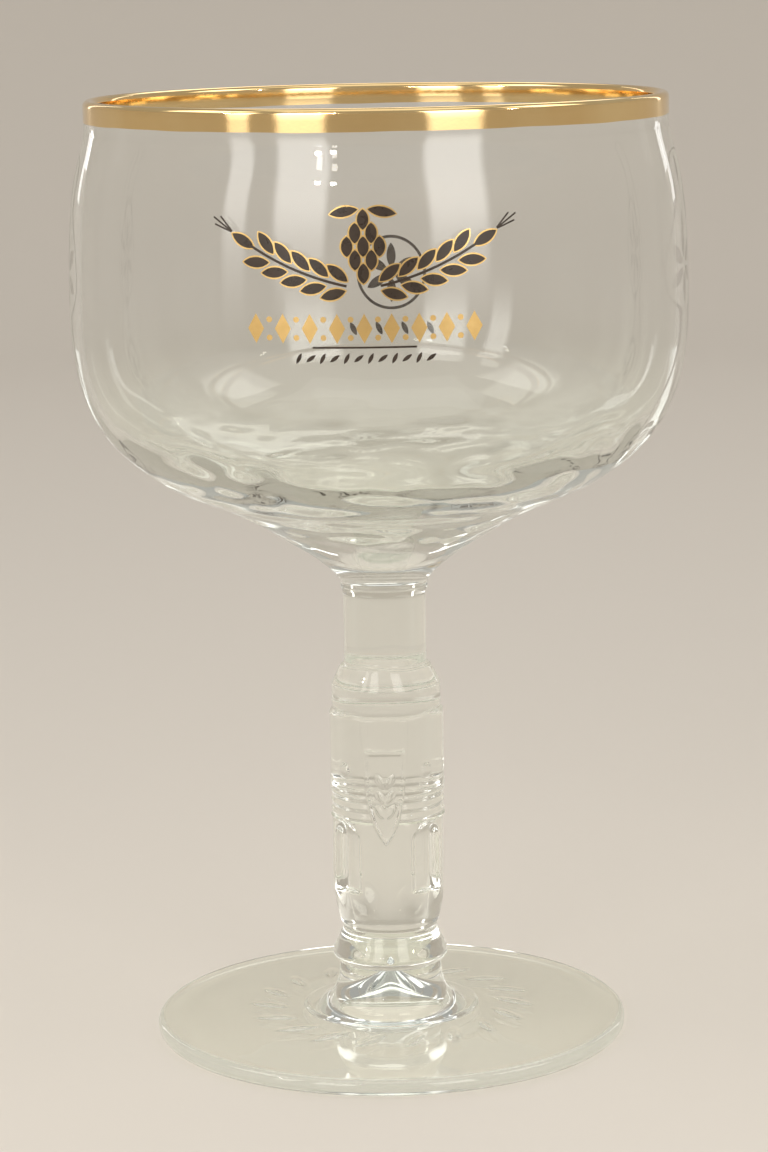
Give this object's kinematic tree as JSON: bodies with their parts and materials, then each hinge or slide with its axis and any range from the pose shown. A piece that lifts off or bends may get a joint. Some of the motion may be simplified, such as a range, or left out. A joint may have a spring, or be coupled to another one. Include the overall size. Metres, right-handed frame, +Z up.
{
  "type": "chalice beer glass",
  "caption": "Clear stemmed chalice glass for beer, with a wide round bowl, a moulded faceted stem, a flat round foot, a gilded lip and a fired grain ornament.",
  "frame": {"origin": "middle of the plane that the foot rests on", "axes": "+Z up the glass's axis; the main print looks along -Y"},
  "size_m": [0.1034, 0.1036, 0.1601],
  "materials": {
    "clear_glass": "clear soda-lime glass, fire polished",
    "bright_gold": "polished gold fired on the lip",
    "printed_gold": "printed gold, a little satin",
    "dark_enamel": "dark brown fired enamel, glossy"
  },
  "bodies": {
    "root": {"bowl": "clear_glass", "stem": "clear_glass", "foot": "clear_glass", "rim_gilding": "bright_gold", "front_ornament": "dark_enamel", "front_ornament_edge": "printed_gold", "front_frieze": "printed_gold", "front_rule": "dark_enamel", "front_runner": "dark_enamel", "back_print": "dark_enamel"}
  },
  "joints": []
}
